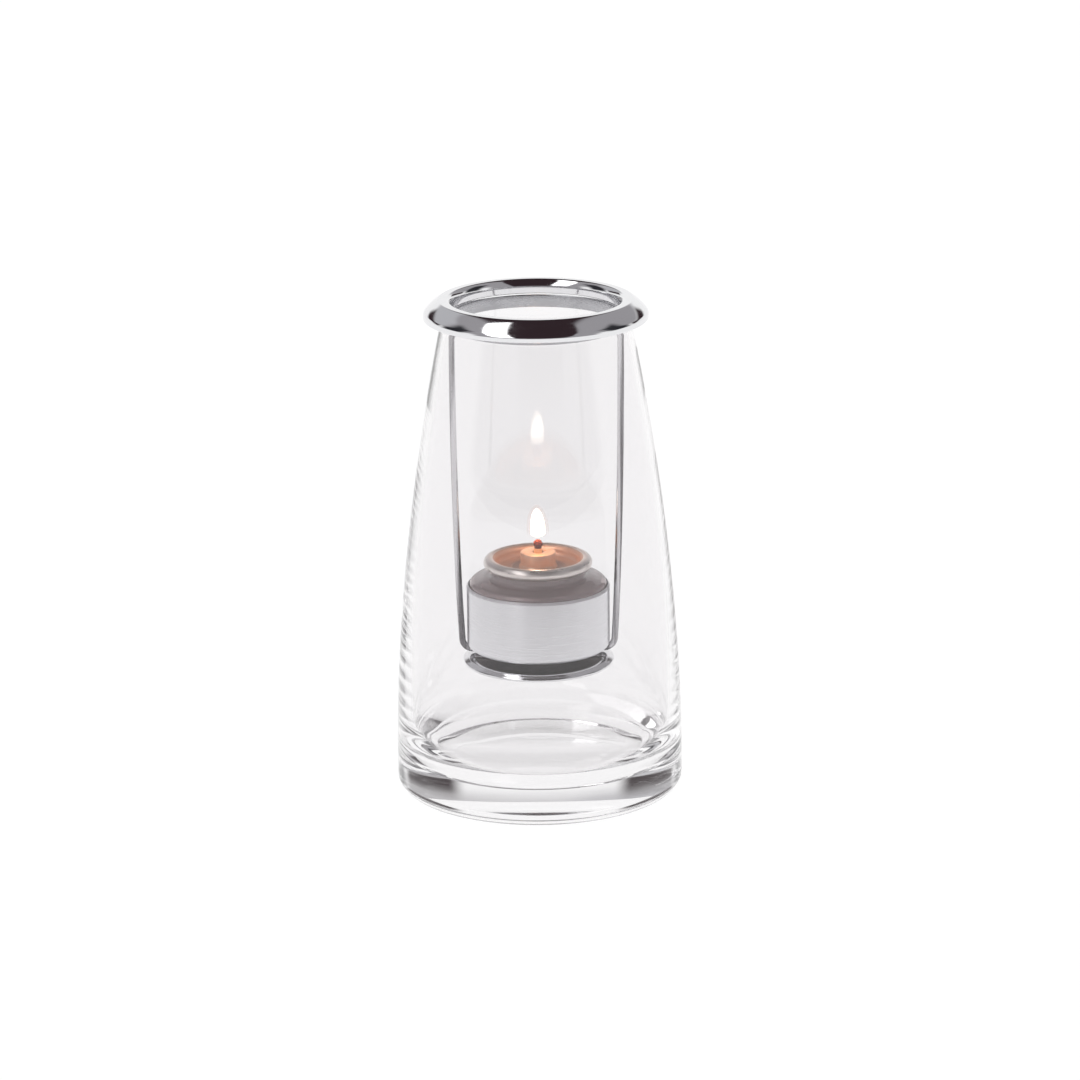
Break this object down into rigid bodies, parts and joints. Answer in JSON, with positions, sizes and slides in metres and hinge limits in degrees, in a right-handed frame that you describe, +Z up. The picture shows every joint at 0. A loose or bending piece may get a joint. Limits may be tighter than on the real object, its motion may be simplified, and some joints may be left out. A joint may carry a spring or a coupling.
{
  "type": "tealight holder",
  "caption": "Tapered clear glass vase with a polished ring on its mouth, which hangs a satin cup on two wires around a liquid-wax fuel cell with a lit wick.",
  "frame": {"origin": "middle of the underside of the glass, on the surface it stands on", "axes": "+Z up along the axis of the glass, +X towards the right-hand wire, -Y towards the viewer"},
  "size_m": [0.0848, 0.0848, 0.1484],
  "materials": {
    "clear_glass": "clear, fire-polished",
    "polished_metal": "mirror polished",
    "satin_metal": "satin, brushed round, with a polished bevel",
    "smoky_plastic": "clear smoky bottle plastic",
    "liquid_wax": "clear liquid",
    "seal": "matte",
    "pale_cap": "satin, warm white",
    "wick_boss": "satin, heat tinted",
    "wick_fibre": "charred braid"
  },
  "bodies": {
    "glass": {"glass_vase": "clear_glass"},
    "hanger": {"top_ring": "polished_metal", "ring_collar": "polished_metal", "hanger_wire_left": "polished_metal", "hanger_wire_right": "polished_metal", "cell_cup": "satin_metal", "under_plate": "polished_metal"},
    "cell": {"cell_bottle": "smoky_plastic", "liquid_wax": "liquid_wax", "cap_gasket": "seal", "cell_cap": "pale_cap", "wick_holder": "wick_boss", "wick": "wick_fibre"}
  },
  "joints": [
    {"name": "hanger_lift", "type": "slide", "parent": "glass", "child": "hanger", "axis": [0, 0, 1], "range_m": [0, 0.115]},
    {"name": "cell_lift", "type": "slide", "parent": "hanger", "child": "cell", "axis": [0, 0, 1], "range_m": [0, 0.112]}
  ]
}
